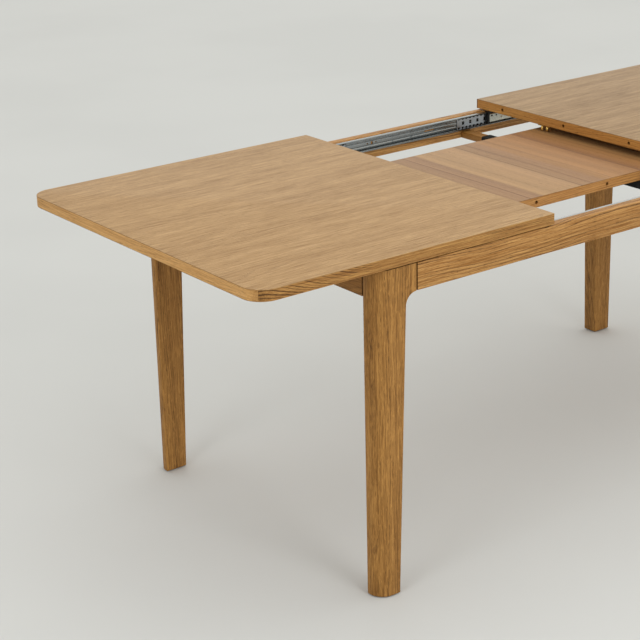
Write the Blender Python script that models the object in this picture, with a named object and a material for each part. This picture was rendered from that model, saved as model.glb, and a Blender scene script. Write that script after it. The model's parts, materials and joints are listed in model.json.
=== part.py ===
"""Extendable dining table: two sliding top halves on ball bearing slides, with a loose leaf stored below.

Metres, +Z up. X runs along the table, with -X on the left; -Y is the front. The origin is on the floor
under the middle of the table. The rest position has both top halves pulled out by PULL_OUT.
"""
import math

import bmesh
import bpy
from mathutils import Matrix, Vector

for old in list(bpy.data.objects):
    bpy.data.objects.remove(old, do_unlink=True)

# ---- Driving dimensions -------------------------------------------------------------------------
TABLE_HEIGHT = 0.750
TOP_WIDTH = 0.870            # along Y
TOP_LENGTH = 0.7625          # one half, along X; closed, the table is twice as long
BOARD = 0.0245               # thickness of the tops and of the leaf
TOP_CORNER = 0.046           # corner radius at the outer ends
PULL_OUT = 0.280             # how far each half is pulled out at rest
OVERRUN = 0.010              # travel left beyond rest, up to the slide's end stop
GAP = 0.0003                 # clearance between pieces that touch

FRAME_INSET_X = 0.005        # from the closed top's end to the frame
FRAME_INSET_Y = 0.003
APRON_HEIGHT = 0.0584
APRON_THICKNESS = 0.024
APRON_TOP_GAP = 0.003        # running clearance under the tops
APRON_EDGE = 0.001           # rounding of the aprons' and battens' arrises

LEG_DEPTH = 0.042            # along Y
LEG_FOOT_WIDTH = 0.055       # along X, at the floor
LEG_UPPER_WIDTH = 0.0765     # along X, under the shoulder
LEG_SHOULDER = 0.104         # along X, beside the apron
LEG_FILLET = 0.0275
LEG_ROUND = 0.035            # radius of the outer corner
LEG_EDGE = 0.0012            # chamfer of the other corners
FOOT_CHAMFER = 0.0015
FILLET_STEPS = 8
GLIDE_PLACE = 0.53           # of a glide, as a share of the foot's width and depth
GLIDE_RADIUS = 0.011
GLIDE_HEIGHT = 0.002
SHADOW_GAP = 0.0025          # groove between a leg and an apron

LEAF_WIDTH = 0.450           # along Y while stored
LEAF_SHIFT = -0.019          # where the stored leaf lies along X
LEAF_DROP = 0.0413           # leaf's upper face below the tops' upper face

DOWEL_PITCH = 0.224
DOWEL_RADIUS = 0.004
DOWEL_LENGTH = 0.030
DOWEL_PROUD = 0.009
HOLE_RADIUS = 0.0043
HOLE_SPARE = 0.003           # how much deeper a hole is than its dowel
DOWEL_CHAMFER = 0.0012
BOARD_EDGE = 0.0008          # rounding of the boards' arrises
CUT = 0.002                  # how far a cutter reaches beyond the face it opens

RAIL_X = 0.215               # centre line of a cross rail
RAIL_WIDTH = 0.030
RAIL_HEIGHT = 0.0175
RAIL_ROUND = 0.003
PAD_WALL = 0.0017
PAD_ROUND = 0.0045           # at the middle of the pad's wall
PAD_HALF_LENGTH = 0.325

SLIDE_LENGTH = 1.280         # outer member
SLIDE_Z = 0.7033             # centre line of the slides
RUNNER_LENGTH = 0.340
CAGE_LENGTH = 0.400
CAGE_START = 0.184           # cage's inner end at rest
CAGE_STOP = 0.031            # stop tabs on the outer member
TAB_HALF = 0.0015            # half a stop tab, along X
TAB_DEPTHS = (0.0015, 0.0042)
TAB_HEIGHTS = (0.0060, 0.0085)
BUMPER_LENGTH = 0.011

BATTEN_START = 0.140         # from the top's inner edge
BATTEN_LENGTH = 0.220
BATTEN_THICKNESS = 0.020
BATTEN_HEIGHT = 0.034

LOCK_Y = 0.1752              # hooked post of the lock
POST_PITCH = 0.0181
POST_INSET = 0.0065          # from the top's inner edge
POST_RADIUS = 0.0033
POST_BOTTOM = 0.7110
POST_CHAMFER = 0.0011
PIVOT_INSET = 0.035
PIVOT_RADIUS = 0.0030
PIVOT_HEAD_RADIUS = 0.0050
PIVOT_BORE = 0.0034
LEVER_THICKNESS = 0.003
LEVER_BOTTOM = 0.7135
LOCK_PLATE = 0.0022
LOCK_EDGE = 0.0006
BASE_HALF = (0.020, 0.015)   # half the base plate, along X and Y
KEEPER_START = 0.0015        # from the top's inner edge
KEEPER_LENGTH = 0.034
KEEPER_MARGIN = 0.011        # of the keeper plate beside its posts

# ---- Places worked out from them ----------------------------------------------------------------
TOP_BOTTOM = TABLE_HEIGHT - BOARD
APRON_TOP = TOP_BOTTOM - APRON_TOP_GAP
APRON_BOTTOM = APRON_TOP - APRON_HEIGHT
FRAME_X = TOP_LENGTH - FRAME_INSET_X
FRAME_Y = TOP_WIDTH / 2 - FRAME_INSET_Y
APRON_INNER_X = FRAME_X - APRON_THICKNESS
APRON_INNER_Y = FRAME_Y - APRON_THICKNESS
LEG_INNER_Y = FRAME_Y - LEG_DEPTH
LEAF_TOP = TABLE_HEIGHT - LEAF_DROP
LEAF_BOTTOM = LEAF_TOP - BOARD
INNER_EDGE = PULL_OUT        # of each top half at rest
DOWEL_Z = TABLE_HEIGHT - BOARD / 2
DOWEL_PLACES = [DOWEL_PITCH * step for step in (-1.5, -0.5, 0.5, 1.5)]

SIDES = {"left": -1, "right": 1}
ROWS = {"front": -1, "back": 1}

# Slide sections: (distance from the apron's inner face, height above the slide's centre line).
OUTER_HALF_SECTION = [
    (0.0102, 0.0136), (0.0104, 0.0162), (0.0094, 0.0172), (0.0020, 0.0172), (0.0009, 0.0162),
    (0.0009, 0.0115), (0.0023, 0.0095), (0.0023, 0.0050), (0.0009, 0.0030),
]
CAGE_HALF_SECTION = [(0.0088, 0.0149), (0.0044, 0.0149), (0.0036, 0.0140)]
RUNNER_HALF_SECTION = [(0.0050, 0.0127), (0.0092, 0.0127), (0.0104, 0.0115)]
BUMPER_HALF_SECTION = [(0.0046, 0.0136), (0.0088, 0.0136), (0.0090, 0.0123), (0.0122, 0.0123)]
OUTER_SHEET = 0.0012
CAGE_SHEET = 0.0008
RUNNER_SHEET = 0.0012
RUNNER_FACE = 0.0110         # the runner's face, from the apron


# ---- Materials ----------------------------------------------------------------------------------
def material(name, color, roughness, metallic=0.0):
    made = bpy.data.materials.new(name)
    made.use_nodes = True
    shader = made.node_tree.nodes["Principled BSDF"]
    shader.inputs["Base Color"].default_value = (*color, 1)
    shader.inputs["Roughness"].default_value = roughness
    shader.inputs["Metallic"].default_value = metallic
    return made


OAK_TOP = material("oak_top", (0.50, 0.34, 0.19), 0.55)
OAK_FRAME = material("oak_frame", (0.38, 0.21, 0.09), 0.55)
OAK_LEAF = material("oak_leaf", (0.50, 0.30, 0.16), 0.60)
BEECH = material("beech", (0.56, 0.38, 0.22), 0.60)
ZINC = material("zinc_steel", (0.48, 0.50, 0.53), 0.35, 1.0)
ZINC_LIGHT = material("zinc_runner", (0.60, 0.61, 0.60), 0.40, 1.0)
BRASS = material("brass", (0.72, 0.50, 0.20), 0.30, 1.0)
BLACK_PLASTIC = material("black_plastic", (0.015, 0.015, 0.016), 0.55)
BLACK_PAD = material("black_pad", (0.012, 0.012, 0.012), 0.85)
GREY_FELT = material("grey_felt", (0.20, 0.19, 0.18), 0.95)


# ---- Modelling helpers --------------------------------------------------------------------------
def finish_mesh(name, mesh_data, paint, origin=(0, 0, 0), parent=None):
    """Makes the object from a bmesh in world coordinates, with its origin at the given point."""
    bmesh.ops.recalc_face_normals(mesh_data, faces=mesh_data.faces)
    origin = Vector(origin)
    bmesh.ops.translate(mesh_data, verts=mesh_data.verts, vec=-origin)
    mesh = bpy.data.meshes.new(name)
    mesh_data.to_mesh(mesh)
    mesh_data.free()
    made = bpy.data.objects.new(name, mesh)
    bpy.context.collection.objects.link(made)
    made.location = origin
    if parent:
        made.parent = parent
        made.location = origin - parent.location
    if paint:
        mesh.materials.append(paint)
    return made


def empty(name, location):
    made = bpy.data.objects.new(name, None)
    made.location = location
    made.empty_display_size = 0.05
    bpy.context.collection.objects.link(made)
    return made


def round_arrises(made, width, segments=2):
    bevel = made.modifiers.new("round_arrises", "BEVEL")
    bevel.width = width
    bevel.segments = segments
    bevel.limit_method = "ANGLE"
    bevel.angle_limit = math.radians(40)
    return made


def smooth_sides(made, degrees=35):
    made.data.shade_smooth()
    made.data.set_sharp_from_angle(angle=math.radians(degrees))
    return made


def combine(made, other, operation):
    """Cuts a hidden helper object from the piece, or joins it to the piece."""
    other.hide_render = True
    other.display_type = "WIRE"
    change = made.modifiers.new(other.name, "BOOLEAN")
    change.operation = operation
    change.solver = "EXACT"
    change.object = other
    return made


def block(name, low, high, paint=None, **place):
    """A rectangular block between two opposite corners."""
    low, high = Vector(low), Vector(high)
    shape = bmesh.new()
    bmesh.ops.create_cube(shape, size=1)
    size = [abs(b - a) for a, b in zip(low, high)]
    bmesh.ops.transform(
        shape, matrix=Matrix.Translation((low + high) / 2) @ Matrix.Diagonal((*size, 1)), verts=shape.verts
    )
    return finish_mesh(name, shape, paint, **place)


def prism(name, outline, place_point, start, end, paint=None, **place):
    """A flat outline carried from start to end; place_point turns (a, b, along) into a position."""
    shape = bmesh.new()
    rings = [[shape.verts.new(place_point(a, b, along)) for a, b in outline] for along in (start, end)]
    count = len(outline)
    for k in range(count):
        after = (k + 1) % count
        shape.faces.new((rings[0][k], rings[0][after], rings[1][after], rings[1][k]))
    for ring in rings:
        shape.faces.new(ring)
    return finish_mesh(name, shape, paint, **place)


def loft(name, rings, paint=None, **place):
    """A closed skin through rings of points that have equal counts, capped at both ends."""
    shape = bmesh.new()
    made = [[shape.verts.new(point) for point in ring] for ring in rings]
    count = len(rings[0])
    for lower, upper in zip(made, made[1:]):
        for k in range(count):
            after = (k + 1) % count
            shape.faces.new((lower[k], lower[after], upper[after], upper[k]))
    shape.faces.new(made[0])
    shape.faces.new(made[-1])
    return finish_mesh(name, shape, paint, **place)


def arc(center, radius, start, end, steps):
    """Points of an arc, with its angles in degrees."""
    points = []
    for k in range(steps + 1):
        angle = math.radians(start + (end - start) * k / steps)
        points.append((center[0] + radius * math.cos(angle), center[1] + radius * math.sin(angle)))
    return points


def rods(name, ends, radius, paint=None, sides=16, tip=0.0, **place):
    """Round rods between pairs of points, in one object, with ends chamfered by tip."""
    shape = bmesh.new()
    for start, end in ends:
        start, end = Vector(start), Vector(end)
        turn = (end - start).to_track_quat("Z", "Y").to_matrix()
        length = (end - start).length
        profile = [(0, radius - tip), (tip, radius), (length - tip, radius), (length, radius - tip)]
        if not tip:
            profile = [(0, radius), (length, radius)]
        rings = []
        for along, size in profile:
            circle = arc((0, 0), size, 0, 360, sides)[:-1]
            rings.append([shape.verts.new(start + turn @ Vector((x, y, along))) for x, y in circle])
        for lower, upper in zip(rings, rings[1:]):
            for k in range(sides):
                after = (k + 1) % sides
                shape.faces.new((lower[k], lower[after], upper[after], upper[k]))
        shape.faces.new(rings[0])
        shape.faces.new(rings[-1])
    made = finish_mesh(name, shape, paint, **place)
    return smooth_sides(made)


def sheet_outline(path, thickness):
    """The closed outline of a bent sheet whose middle follows the path."""
    points = [Vector(point) for point in path]
    near, far = [], []
    for k, point in enumerate(points):
        before = (point - points[k - 1]).normalized() if k else None
        after = (points[k + 1] - point).normalized() if k + 1 < len(points) else None
        before, after = before or after, after or before
        normals = [Vector((-d.y, d.x)) for d in (before, after)]
        miter = (normals[0] + normals[1]).normalized()
        offset = miter * (thickness / 2 / miter.dot(normals[0]))
        near.append(tuple(point + offset))
        far.append(tuple(point - offset))
    return near + far[::-1]


def both_halves(half_section):
    """A section's upper half followed by its mirror image below the centre line."""
    return half_section + [(a, -b) for a, b in reversed(half_section)]


# ---- The frame: legs, aprons, cross rails -------------------------------------------------------
def leg_ring(width, depth, height, shrink=0.0):
    """A leg's section as (inwards along X, inwards along Y), at one height."""
    low, far_x, far_y = shrink, width - shrink, depth - shrink
    outline = arc((LEG_ROUND, LEG_ROUND), LEG_ROUND - shrink, 180, 270, 9)
    outline += [(far_x - LEG_EDGE, low), (far_x, low + LEG_EDGE)]
    outline += [(far_x, far_y - LEG_EDGE), (far_x - LEG_EDGE, far_y)]
    outline += [(low + LEG_EDGE, far_y), (low, far_y - LEG_EDGE)]
    return [(a, b, height) for a, b in outline]


def make_leg(side_name, row_name):
    side, row = SIDES[side_name], ROWS[row_name]
    foot = GLIDE_HEIGHT + GAP
    fillet_start = APRON_BOTTOM - LEG_FILLET
    rings = [leg_ring(LEG_FOOT_WIDTH, LEG_DEPTH, foot, FOOT_CHAMFER)]
    rings.append(leg_ring(LEG_FOOT_WIDTH, LEG_DEPTH, foot + FOOT_CHAMFER))
    for k in range(FILLET_STEPS + 1):
        angle = math.radians(90 * k / FILLET_STEPS)
        width = LEG_UPPER_WIDTH + (LEG_SHOULDER - LEG_UPPER_WIDTH) * (1 - math.cos(angle))
        rings.append(leg_ring(width, LEG_DEPTH, fillet_start + LEG_FILLET * math.sin(angle)))
    rings.append(leg_ring(LEG_SHOULDER, LEG_DEPTH, APRON_TOP))
    placed = [[(side * (FRAME_X - a), row * (FRAME_Y - b), z) for a, b, z in ring] for ring in rings]
    name = f"leg_{side_name}_{row_name}"
    leg = smooth_sides(loft(name, placed, OAK_FRAME), 20)
    combine(leg, tenon(f"mortise_x_{side_name}_{row_name}", "x", side, row, GAP), "DIFFERENCE")
    combine(leg, tenon(f"mortise_y_{side_name}_{row_name}", "y", side, row, GAP), "DIFFERENCE")
    bore = bolt_rod(f"bore_leg_{side_name}_{row_name}", side, row, BOLT_RADIUS + GAP, None)
    combine(leg, bore, "DIFFERENCE")
    center_x = side * (FRAME_X - LEG_FOOT_WIDTH * GLIDE_PLACE)
    center_y = row * (FRAME_Y - LEG_DEPTH * GLIDE_PLACE)
    rods(
        f"glide_{side_name}_{row_name}", [((center_x, center_y, 0), (center_x, center_y, GLIDE_HEIGHT))],
        GLIDE_RADIUS, GREY_FELT, sides=24,
    )


TENON_X_LENGTH = 0.022
TENON_Y_LENGTH = 0.016
TENON_THICKNESS = 0.012
TENON_SHOULDER = 0.009       # above and below the tenon
TENON_ROOT = 0.006           # how far the tenon's block reaches back into its apron


def tenon(name, axis, side, row, grow):
    """The tenon on a long apron's end (axis x) or an end apron's end (axis y), grown for its mortise."""
    low_z, high_z = APRON_BOTTOM + TENON_SHOULDER - grow, APRON_TOP - TENON_SHOULDER + grow
    half = TENON_THICKNESS / 2 + grow
    if axis == "x":
        root = FRAME_X - LEG_SHOULDER
        middle = FRAME_Y - APRON_THICKNESS / 2
        start = (side * (root - TENON_ROOT), row * (middle - half), low_z)
        end = (side * (root + TENON_X_LENGTH + grow), row * (middle + half), high_z)
    else:
        middle = FRAME_X - APRON_THICKNESS / 2
        start = (side * (middle - half), row * (LEG_INNER_Y - TENON_ROOT), low_z)
        end = (side * (middle + half), row * (LEG_INNER_Y + TENON_Y_LENGTH + grow), high_z)
    return block(name, start, end)


def make_aprons():
    reach = FRAME_X - LEG_SHOULDER - SHADOW_GAP
    for row_name, row in ROWS.items():
        name = f"apron_{row_name}"
        apron = block(
            name, (-reach, row * APRON_INNER_Y, APRON_BOTTOM), (reach, row * FRAME_Y, APRON_TOP), OAK_FRAME
        )
        round_arrises(apron, APRON_EDGE)
        for side_name, side in SIDES.items():
            combine(apron, tenon(f"tenon_x_{side_name}_{row_name}", "x", side, row, 0), "UNION")
    reach = LEG_INNER_Y - SHADOW_GAP
    for side_name, side in SIDES.items():
        name = f"end_apron_{side_name}"
        apron = block(
            name, (side * APRON_INNER_X, -reach, APRON_BOTTOM), (side * FRAME_X, reach, APRON_TOP), OAK_FRAME
        )
        round_arrises(apron, APRON_EDGE)
        for row_name, row in ROWS.items():
            combine(apron, tenon(f"tenon_y_{side_name}_{row_name}", "y", side, row, 0), "UNION")


BLOCK_LEG = 0.055            # the corner block's short sides
BLOCK_MARGIN = 0.008         # of the block inside the apron's height
BOLT_RADIUS = 0.003
BOLT_ENTRY = 0.021           # where the bolt enters the leg, from the end apron
BOLT_DEPTH = 0.030
BOLT_HEAD = 0.0055           # height of its head
BOLT_HEAD_RADIUS = 0.0065
BOLT_HEAD_GAP = 0.0008       # between the head and the block
BLOCK_TIP = 0.006            # flat at each end of the block's long face


def bolt_line(side, row):
    """The corner bolt's outer end, its place on the block's face, and its direction outwards."""
    outwards = Vector((side, row, 0)).normalized()
    middle = (APRON_TOP + APRON_BOTTOM) / 2
    entry = Vector((side * (APRON_INNER_X - BOLT_ENTRY), row * LEG_INNER_Y, middle))
    face = entry - outwards * (BLOCK_LEG - BOLT_ENTRY) / math.sqrt(2)
    return entry + outwards * BOLT_DEPTH, face, outwards


def bolt_rod(name, side, row, radius, paint):
    tip, face, outwards = bolt_line(side, row)
    return rods(name, [(face - outwards * 0.001, tip)], radius, paint, sides=12)


def make_corner(side_name, row_name):
    """The glued block in a frame corner, and the bolt that draws the leg against it."""
    side, row = SIDES[side_name], ROWS[row_name]
    corner = (APRON_INNER_X - GAP, LEG_INNER_Y - GAP)
    near = BLOCK_LEG - BLOCK_TIP
    outline = [
        corner, (corner[0] - near, corner[1]), (corner[0] - near, corner[1] - BLOCK_TIP),
        (corner[0] - BLOCK_TIP, corner[1] - near), (corner[0], corner[1] - near),
    ]
    piece = prism(
        f"corner_block_{side_name}_{row_name}", outline, lambda a, b, z: (side * a, row * b, z),
        APRON_BOTTOM + BLOCK_MARGIN, APRON_TOP - BLOCK_MARGIN, BEECH,
    )
    bore = bolt_rod(f"bore_block_{side_name}_{row_name}", side, row, BOLT_RADIUS + GAP, None)
    bore.location -= bolt_line(side, row)[2] * 0.004
    combine(piece, bore, "DIFFERENCE")
    tip, face, outwards = bolt_line(side, row)
    bolt = bolt_rod(f"corner_bolt_{side_name}_{row_name}", side, row, BOLT_RADIUS, ZINC)
    head = rods(
        f"bolt_head_{side_name}_{row_name}",
        [(face - outwards * (BOLT_HEAD + BOLT_HEAD_GAP), face - outwards * BOLT_HEAD_GAP)], BOLT_HEAD_RADIUS,
        sides=6,
    )
    combine(bolt, head, "UNION")


def make_rails():
    """The two cross rails that the stored leaf lies on, each with a black sleeve on its middle part."""
    for side_name, side in SIDES.items():
        center = side * RAIL_X
        half = RAIL_WIDTH / 2
        reach = APRON_INNER_Y - GAP
        rail = block(
            f"cross_rail_{side_name}", (center - half, -reach, APRON_BOTTOM),
            (center + half, reach, APRON_BOTTOM + RAIL_HEIGHT), OAK_FRAME,
        )
        round_arrises(rail, RAIL_ROUND)
        wall = half + GAP + PAD_WALL / 2
        crown = RAIL_HEIGHT + GAP + PAD_WALL / 2
        path = [(-wall, 0.0002)] + arc((PAD_ROUND - wall, crown - PAD_ROUND), PAD_ROUND, 180, 90, 4)
        path += [(-a, b) for a, b in reversed(path)]
        prism(
            f"leaf_pad_{side_name}", sheet_outline(path, PAD_WALL),
            lambda a, b, y, c=center: (c + a, y, APRON_BOTTOM + b), -PAD_HALF_LENGTH, PAD_HALF_LENGTH,
            BLACK_PAD,
        )


# ---- Ball bearing slides ------------------------------------------------------------------------
def slide_point(row):
    """Puts a slide section (distance from the apron, height) at its place along X."""
    return lambda depth, height, x: (x, row * (APRON_INNER_Y - depth), SLIDE_Z + height)


def make_outer_slide(row_name):
    """The member on the apron. Two pairs of pressed tabs stop the cages near the middle."""
    row = ROWS[row_name]
    outline = sheet_outline(both_halves(OUTER_HALF_SECTION), OUTER_SHEET)
    half = SLIDE_LENGTH / 2
    outer = prism(f"slide_outer_{row_name}", outline, slide_point(row), -half, half, ZINC)
    for side_name, side in SIDES.items():
        for level_name, level in (("low", -1), ("high", 1)):
            first = slide_point(row)(TAB_DEPTHS[0], level * TAB_HEIGHTS[0], side * (CAGE_STOP - TAB_HALF))
            second = slide_point(row)(TAB_DEPTHS[1], level * TAB_HEIGHTS[1], side * (CAGE_STOP + TAB_HALF))
            tab = block(f"stop_tab_{row_name}_{side_name}_{level_name}", first, second)
            combine(outer, tab, "UNION")


def make_cage(side_name, row_name, parent):
    side, row = SIDES[side_name], ROWS[row_name]
    outline = sheet_outline(both_halves(CAGE_HALF_SECTION), CAGE_SHEET)
    prism(
        f"ball_cage_{side_name}_{row_name}", outline, slide_point(row), side * CAGE_START,
        side * (CAGE_START + CAGE_LENGTH), ZINC, parent=parent,
    )


def make_runner(side_name, row_name, parent):
    """The inner member, its plastic bumper, and the batten that hangs the top on it."""
    side, row = SIDES[side_name], ROWS[row_name]
    bumper_start = INNER_EDGE
    runner_start = bumper_start + BUMPER_LENGTH + GAP
    prism(
        f"bumper_{side_name}_{row_name}", both_halves(BUMPER_HALF_SECTION), slide_point(row),
        side * bumper_start, side * (bumper_start + BUMPER_LENGTH), BLACK_PLASTIC, parent=parent,
    )
    outline = sheet_outline(both_halves(RUNNER_HALF_SECTION), RUNNER_SHEET)
    prism(
        f"slide_runner_{side_name}_{row_name}", outline, slide_point(row), side * runner_start,
        side * (runner_start + RUNNER_LENGTH), ZINC_LIGHT, parent=parent,
    )
    outer_y = APRON_INNER_Y - RUNNER_FACE - GAP
    batten = block(
        f"batten_{side_name}_{row_name}",
        (side * (INNER_EDGE + BATTEN_START), row * outer_y, TOP_BOTTOM - GAP),
        (side * (INNER_EDGE + BATTEN_START + BATTEN_LENGTH), row * (outer_y - BATTEN_THICKNESS),
         TOP_BOTTOM - GAP - BATTEN_HEIGHT),
        OAK_FRAME, parent=parent,
    )
    round_arrises(batten, APRON_EDGE)


# ---- The tops and the leaf ----------------------------------------------------------------------
def make_top(side_name, parent):
    side = SIDES[side_name]
    outer = INNER_EDGE + TOP_LENGTH
    half = TOP_WIDTH / 2
    outline = [(INNER_EDGE, half), (INNER_EDGE, -half)]
    outline += arc((outer - TOP_CORNER, TOP_CORNER - half), TOP_CORNER, -90, 0, 14)
    outline += arc((outer - TOP_CORNER, half - TOP_CORNER), TOP_CORNER, 0, 90, 14)
    top = prism(
        f"top_{side_name}", outline, lambda a, b, z: (side * a, b, z), TOP_BOTTOM, TABLE_HEIGHT, OAK_TOP,
        parent=parent,
    )
    round_arrises(smooth_sides(top, 20), BOARD_EDGE)
    start = INNER_EDGE - CUT
    depth = INNER_EDGE + (DOWEL_LENGTH - DOWEL_PROUD if side < 0 else DOWEL_PROUD + HOLE_SPARE) + GAP
    ends = [((side * start, y, DOWEL_Z), (side * depth, y, DOWEL_Z)) for y in DOWEL_PLACES]
    combine(top, rods(f"dowel_holes_{side_name}", ends, HOLE_RADIUS, parent=parent), "DIFFERENCE")


def make_top_dowels(parent):
    """Pins in the left half's inner edge. They enter the right half's holes, or the leaf's."""
    tip = DOWEL_PROUD - INNER_EDGE
    for number, y in enumerate(DOWEL_PLACES, 1):
        ends = [((tip - DOWEL_LENGTH, y, DOWEL_Z), (tip, y, DOWEL_Z))]
        rods(f"top_dowel_{number}", ends, DOWEL_RADIUS, BEECH, tip=DOWEL_CHAMFER, parent=parent)


def make_leaf(parent):
    half_x, half_y = TOP_WIDTH / 2, LEAF_WIDTH / 2
    leaf = block(
        "leaf", (LEAF_SHIFT - half_x, -half_y, LEAF_BOTTOM), (LEAF_SHIFT + half_x, half_y, LEAF_TOP),
        OAK_LEAF, parent=parent,
    )
    round_arrises(leaf, BOARD_EDGE)
    middle = LEAF_TOP - BOARD / 2
    places = [LEAF_SHIFT + step for step in DOWEL_PLACES]
    depth = -half_y + DOWEL_PROUD + HOLE_SPARE
    open_holes = [((x, -half_y - CUT, middle), (x, depth, middle)) for x in places]
    buried = half_y - DOWEL_LENGTH + DOWEL_PROUD - GAP
    pin_holes = [((x, buried, middle), (x, half_y + CUT, middle)) for x in places]
    combine(leaf, rods("leaf_holes", open_holes + pin_holes, HOLE_RADIUS, parent=parent), "DIFFERENCE")
    for number, x in enumerate(places, 1):
        ends = [((x, half_y - DOWEL_LENGTH + DOWEL_PROUD, middle), (x, half_y + DOWEL_PROUD, middle))]
        rods(f"leaf_dowel_{number}", ends, DOWEL_RADIUS, BEECH, tip=DOWEL_CHAMFER, parent=parent)


# ---- Brass locks between the halves -------------------------------------------------------------
def lever_outline():
    """The lever seen from above, engaged: pivot at (0, 0), arm along +X, mouth of the claw open to +Y."""
    reach = PIVOT_INSET + POST_INSET + 2 * GAP
    slot = POST_RADIUS + 0.0009
    outline = arc((0, 0), 0.007, 45, 140, 5)
    outline += arc((-0.016, 0), 0.0045, 90, 270, 8)
    outline += arc((0, 0), 0.007, 220, 300, 5)
    outline += [(reach - 0.012, -0.0062), (reach + 0.0030, -0.0085)]
    outline += arc((reach + 0.0035, -0.0035), 0.005, -60, 0, 3)
    outline += [(reach + 0.0085, 0.0025), (reach + 0.0065, 0.0045), (reach + slot + 0.0002, 0.0032)]
    outline += arc((reach, -0.0009), slot, 0, -180, 10)
    outline += [(reach - slot - 0.0002, 0.0032), (reach - slot - 0.0015, 0.0050), (reach - 0.012, 0.0052)]
    return outline


def make_lock(row_name, left, right):
    """A swinging lever under the left half, and the plate with two posts under the right half."""
    row = ROWS[row_name]
    pivot = Vector((-INNER_EDGE - PIVOT_INSET, row * LOCK_Y, 0))
    plate_top = TOP_BOTTOM - GAP
    plate_bottom = plate_top - LOCK_PLATE
    base = block(
        f"lock_base_{row_name}", (pivot.x - BASE_HALF[0], pivot.y - BASE_HALF[1], plate_bottom),
        (pivot.x + BASE_HALF[0], pivot.y + BASE_HALF[1], plate_top), BRASS, parent=left,
    )
    round_arrises(base, LOCK_EDGE, 1)
    axle = [((pivot.x, pivot.y, LEVER_BOTTOM - 0.0016), (pivot.x, pivot.y, plate_bottom + 0.001))]
    combine(base, rods(f"lock_axle_{row_name}", axle, PIVOT_RADIUS, sides=20, parent=left), "UNION")
    head = [((pivot.x, pivot.y, LEVER_BOTTOM - 0.0020), (pivot.x, pivot.y, LEVER_BOTTOM - GAP))]
    washer = rods(f"lock_head_{row_name}", head, PIVOT_HEAD_RADIUS, sides=20, tip=0.0004, parent=left)
    combine(base, washer, "UNION")
    turned = [(b, -row * a) for a, b in lever_outline()]
    swing = empty(f"lock_pivot_{row_name}", (pivot.x, pivot.y, LEVER_BOTTOM))
    lever = prism(
        f"lock_lever_{row_name}", turned, lambda a, b, z: (pivot.x + a, pivot.y + b, z),
        LEVER_BOTTOM, LEVER_BOTTOM + LEVER_THICKNESS, BRASS, parent=swing,
        origin=(pivot.x, pivot.y, LEVER_BOTTOM),
    )
    bore = [((pivot.x, pivot.y, LEVER_BOTTOM - 0.001), (pivot.x, pivot.y, LEVER_BOTTOM + 0.004))]
    combine(lever, rods(f"lever_bore_{row_name}", bore, PIVOT_BORE, sides=20), "DIFFERENCE")
    edge = INNER_EDGE + KEEPER_START
    keeper = block(
        f"lock_keeper_{row_name}", (edge, row * (LOCK_Y - KEEPER_MARGIN), plate_bottom),
        (edge + KEEPER_LENGTH, row * (LOCK_Y + POST_PITCH + KEEPER_MARGIN), plate_top), BRASS, parent=right,
    )
    round_arrises(keeper, LOCK_EDGE, 1)
    for number in range(2):
        y = row * (LOCK_Y + number * POST_PITCH)
        x = INNER_EDGE + POST_INSET
        ends = [((x, y, POST_BOTTOM), (x, y, plate_bottom + 0.001))]
        post = rods(f"lock_post_{row_name}_{number}", ends, POST_RADIUS, tip=POST_CHAMFER, parent=right)
        combine(keeper, post, "UNION")


# ---- Assembly -----------------------------------------------------------------------------------
def make_table():
    for side_name in SIDES:
        for row_name in ROWS:
            make_leg(side_name, row_name)
            make_corner(side_name, row_name)
    make_aprons()
    make_rails()
    for row_name in ROWS:
        make_outer_slide(row_name)
    carriers = {}
    for side_name, side in SIDES.items():
        carriers[side_name] = empty(f"top_{side_name}_slide", (side * INNER_EDGE, 0, SLIDE_Z))
        cages = empty(f"cages_{side_name}_slide", (side * CAGE_START, 0, SLIDE_Z))
        make_top(side_name, carriers[side_name])
        for row_name in ROWS:
            make_cage(side_name, row_name, cages)
            make_runner(side_name, row_name, carriers[side_name])
    make_top_dowels(carriers["left"])
    make_leaf(empty("leaf_slide", (LEAF_SHIFT, 0, LEAF_BOTTOM)))
    for row_name in ROWS:
        make_lock(row_name, carriers["left"], carriers["right"])


make_table()
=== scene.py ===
"""Looks of the extendable dining table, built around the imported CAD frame.

Metres, +Z up, in the CAD frame: X along the table, -Y the front. The rest pose has both tops pulled out.
"""
import json
import math
import random

import bmesh
import bpy
from mathutils import Matrix, Vector

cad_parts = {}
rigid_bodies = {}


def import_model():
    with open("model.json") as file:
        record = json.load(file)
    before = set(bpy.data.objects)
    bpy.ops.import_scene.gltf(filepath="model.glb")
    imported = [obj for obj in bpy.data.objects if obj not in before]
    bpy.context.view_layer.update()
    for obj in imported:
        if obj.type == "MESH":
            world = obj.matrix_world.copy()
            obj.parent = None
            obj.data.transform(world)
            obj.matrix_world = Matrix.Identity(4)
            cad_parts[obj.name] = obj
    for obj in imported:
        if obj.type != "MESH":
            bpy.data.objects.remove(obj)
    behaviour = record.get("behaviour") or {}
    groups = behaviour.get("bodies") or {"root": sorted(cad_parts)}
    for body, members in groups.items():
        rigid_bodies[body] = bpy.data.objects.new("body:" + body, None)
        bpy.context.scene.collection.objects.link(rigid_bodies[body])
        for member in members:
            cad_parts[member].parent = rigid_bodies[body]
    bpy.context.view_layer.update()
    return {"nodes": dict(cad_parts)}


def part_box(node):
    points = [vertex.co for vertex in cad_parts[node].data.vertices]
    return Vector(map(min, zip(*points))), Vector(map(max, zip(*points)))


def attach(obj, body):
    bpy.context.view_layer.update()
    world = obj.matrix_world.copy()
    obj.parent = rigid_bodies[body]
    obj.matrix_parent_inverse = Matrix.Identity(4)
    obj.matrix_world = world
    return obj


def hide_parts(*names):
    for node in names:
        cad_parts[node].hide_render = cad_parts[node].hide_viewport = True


for old in list(bpy.data.objects):
    bpy.data.objects.remove(old, do_unlink=True)

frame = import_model()
random.seed(7)

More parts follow.
